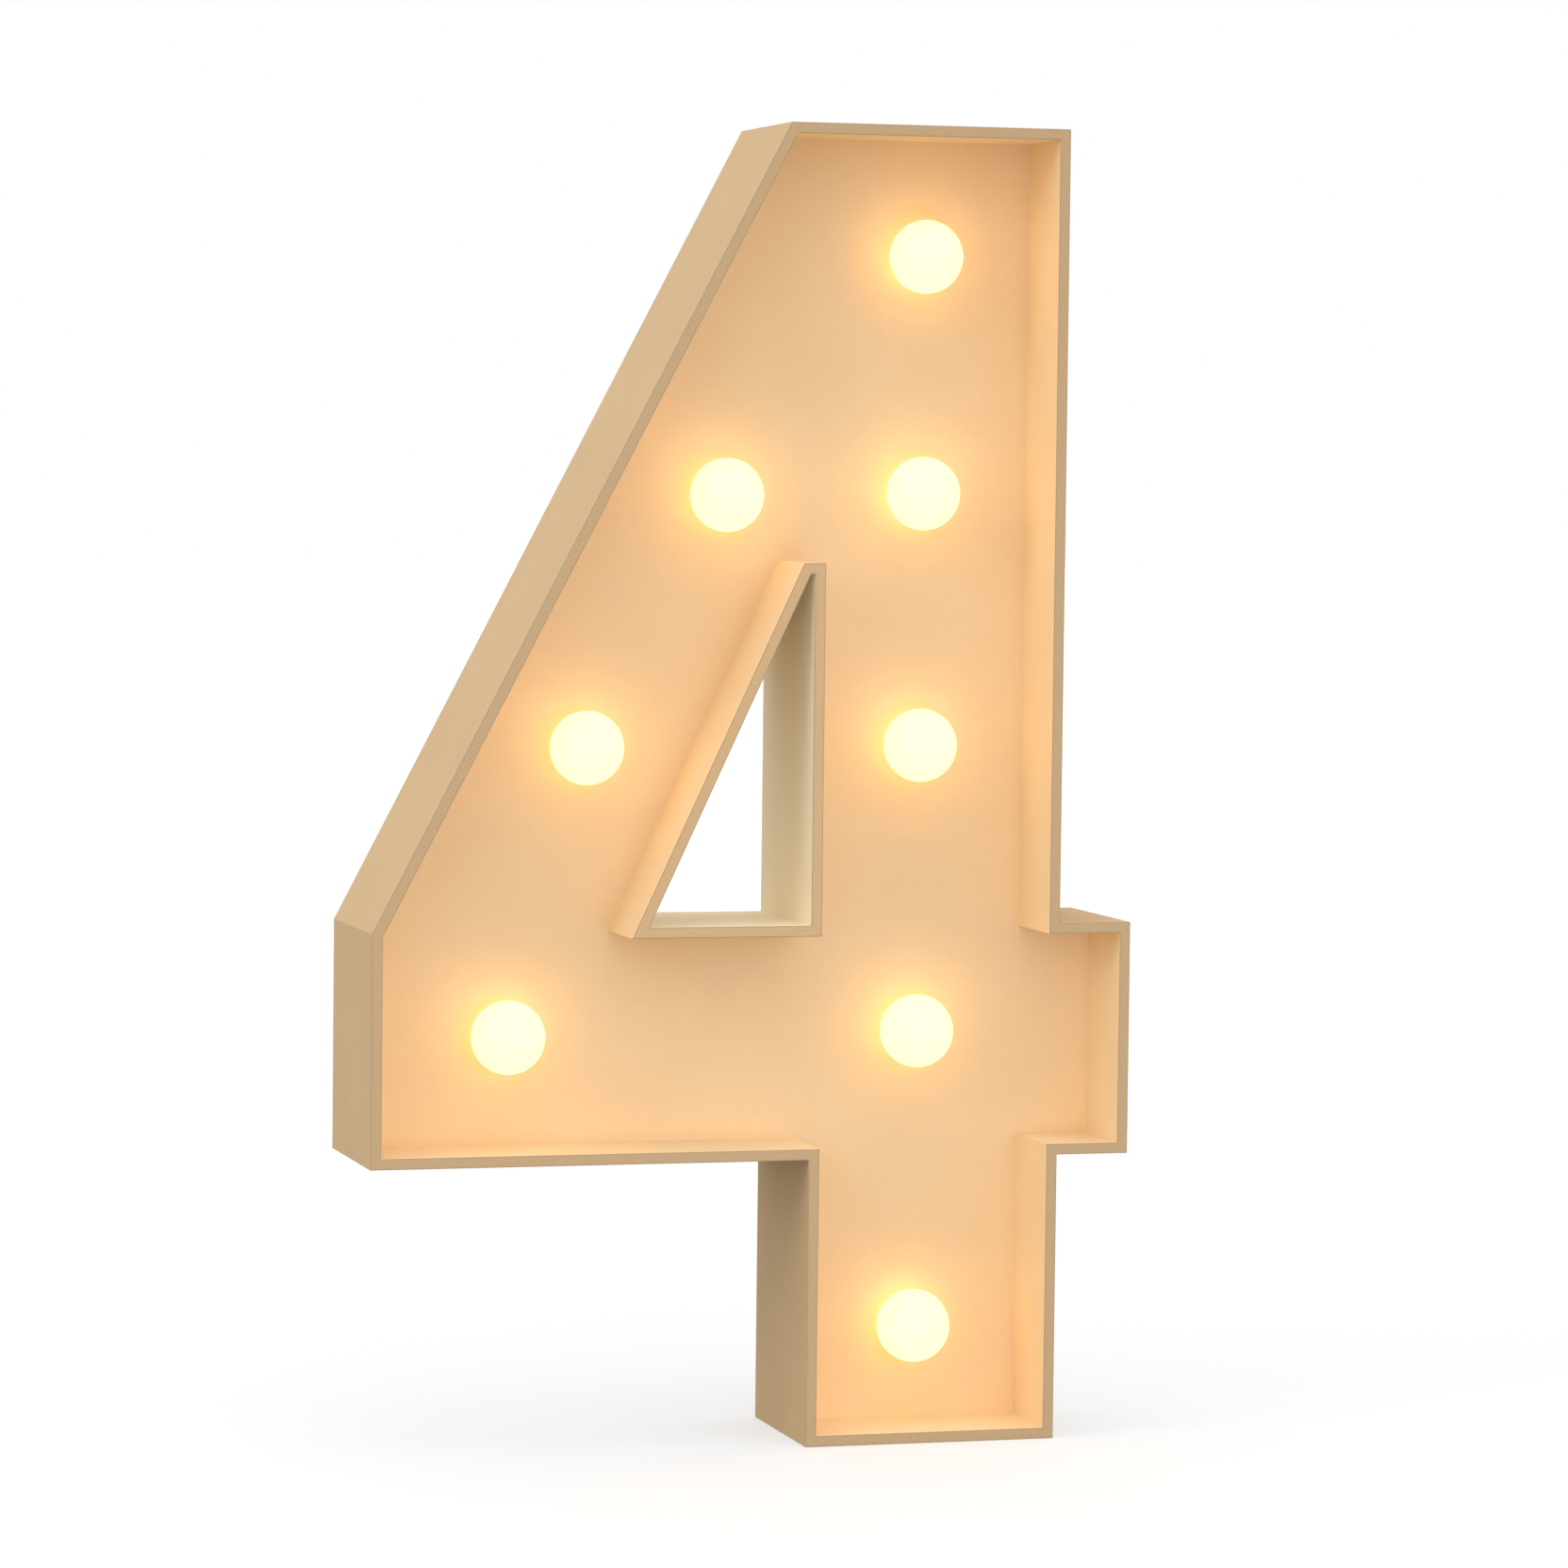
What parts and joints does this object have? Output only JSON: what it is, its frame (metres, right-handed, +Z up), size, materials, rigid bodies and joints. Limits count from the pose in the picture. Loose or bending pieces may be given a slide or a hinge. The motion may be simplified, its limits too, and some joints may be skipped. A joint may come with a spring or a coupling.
{
  "type": "light-up marquee number",
  "caption": "Free-standing light-up numeral: open foam-board tray with a recessed panel, screw-on frosted globe bulbs in front, and holders, lead and battery case in the recess behind.",
  "frame": {"origin": "on the floor, midway across the figure and midway through its depth", "axes": "+Z up, +Y to the back, +X to the right as seen from the front; the bulbs face -Y"},
  "size_m": [0.5414, 0.13, 0.914],
  "materials": {
    "foam_board": "matte",
    "frosted_globe": "satin",
    "holder_plastic": "satin",
    "lamp_phosphor": "satin",
    "lead_plastic": "satin",
    "case_plastic": "satin",
    "switch_plastic": "satin",
    "cell_jacket": "satin",
    "contact_plate": "satin",
    "screw_steel": "satin",
    "foam_tape": "matte"
  },
  "bodies": {
    "frame": {"back_panel": "foam_board", "left_end_wall": "foam_board", "diagonal_wall": "foam_board", "top_wall": "foam_board", "stem_right_wall": "foam_board", "arm_top_wall": "foam_board", "arm_end_wall": "foam_board", "arm_bottom_wall": "foam_board", "leg_right_wall": "foam_board", "foot_wall": "foam_board", "leg_left_wall": "foam_board", "bar_bottom_wall": "foam_board", "counter_diagonal_wall": "foam_board", "counter_top_wall": "foam_board", "counter_right_wall": "foam_board", "counter_bottom_wall": "foam_board", "bulb_holder_1": "holder_plastic", "bulb_holder_2": "holder_plastic", "bulb_holder_3": "holder_plastic", "bulb_holder_4": "holder_plastic", "bulb_holder_5": "holder_plastic", "bulb_holder_6": "holder_plastic", "bulb_holder_7": "holder_plastic", "bulb_holder_8": "holder_plastic", "bulb_lamp_1": "lamp_phosphor", "bulb_lamp_2": "lamp_phosphor", "bulb_lamp_3": "lamp_phosphor", "bulb_lamp_4": "lamp_phosphor", "bulb_lamp_5": "lamp_phosphor", "bulb_lamp_6": "lamp_phosphor", "bulb_lamp_7": "lamp_phosphor", "bulb_lamp_8": "lamp_phosphor", "lead": "lead_plastic", "case_tape_pad": "foam_tape", "battery_case": "case_plastic", "switch_body": "switch_plastic", "battery_cell_1": "cell_jacket", "battery_cell_2": "cell_jacket", "battery_cell_3": "cell_jacket", "link_lower": "contact_plate", "link_upper": "contact_plate", "contact_minus": "contact_plate", "contact_plus": "contact_plate"},
    "bulb_1": {"bulb_globe_1": "frosted_globe"},
    "bulb_2": {"bulb_globe_2": "frosted_globe"},
    "bulb_3": {"bulb_globe_3": "frosted_globe"},
    "bulb_4": {"bulb_globe_4": "frosted_globe"},
    "bulb_5": {"bulb_globe_5": "frosted_globe"},
    "bulb_6": {"bulb_globe_6": "frosted_globe"},
    "bulb_7": {"bulb_globe_7": "frosted_globe"},
    "bulb_8": {"bulb_globe_8": "frosted_globe"},
    "cover": {"battery_cover": "case_plastic"},
    "screw": {"cover_screw": "screw_steel"},
    "switch": {"switch_slider": "switch_plastic"}
  },
  "joints": [
    {"name": "bulb_1_unscrew", "type": "hinge", "parent": "frame", "child": "bulb_1", "pos_m": [0.1284, -0.0215, 0.076], "axis": [0, -1, 0], "range_deg": [0, 720]},
    {"name": "bulb_2_unscrew", "type": "hinge", "parent": "frame", "child": "bulb_2", "pos_m": [0.1284, -0.0215, 0.2842], "axis": [0, -1, 0], "range_deg": [0, 720]},
    {"name": "bulb_3_unscrew", "type": "hinge", "parent": "frame", "child": "bulb_3", "pos_m": [0.1284, -0.0215, 0.4848], "axis": [0, -1, 0], "range_deg": [0, 720]},
    {"name": "bulb_4_unscrew", "type": "hinge", "parent": "frame", "child": "bulb_4", "pos_m": [0.1284, -0.0215, 0.6607], "axis": [0, -1, 0], "range_deg": [0, 720]},
    {"name": "bulb_5_unscrew", "type": "hinge", "parent": "frame", "child": "bulb_5", "pos_m": [0.1284, -0.0215, 0.8254], "axis": [0, -1, 0], "range_deg": [0, 720]},
    {"name": "bulb_6_unscrew", "type": "hinge", "parent": "frame", "child": "bulb_6", "pos_m": [-0.01375, -0.0215, 0.6585], "axis": [0, -1, 0], "range_deg": [0, 720]},
    {"name": "bulb_7_unscrew", "type": "hinge", "parent": "frame", "child": "bulb_7", "pos_m": [-0.11175, -0.0215, 0.4836], "axis": [0, -1, 0], "range_deg": [0, 720]},
    {"name": "bulb_8_unscrew", "type": "hinge", "parent": "frame", "child": "bulb_8", "pos_m": [-0.16575, -0.0215, 0.2842], "axis": [0, -1, 0], "range_deg": [0, 720]},
    {"name": "cover_slide", "type": "slide", "parent": "frame", "child": "cover", "axis": [0, 0, 1], "range_m": [0, 0.07]},
    {"name": "screw_turn", "type": "hinge", "parent": "frame", "child": "screw", "pos_m": [0.1734, 0.0334, 0.1506], "axis": [0, 1, 0], "range_deg": [0, 720]},
    {"name": "switch_off", "type": "slide", "parent": "frame", "child": "switch", "axis": [-1, 0, 0], "range_m": [0, 0.003]}
  ]
}
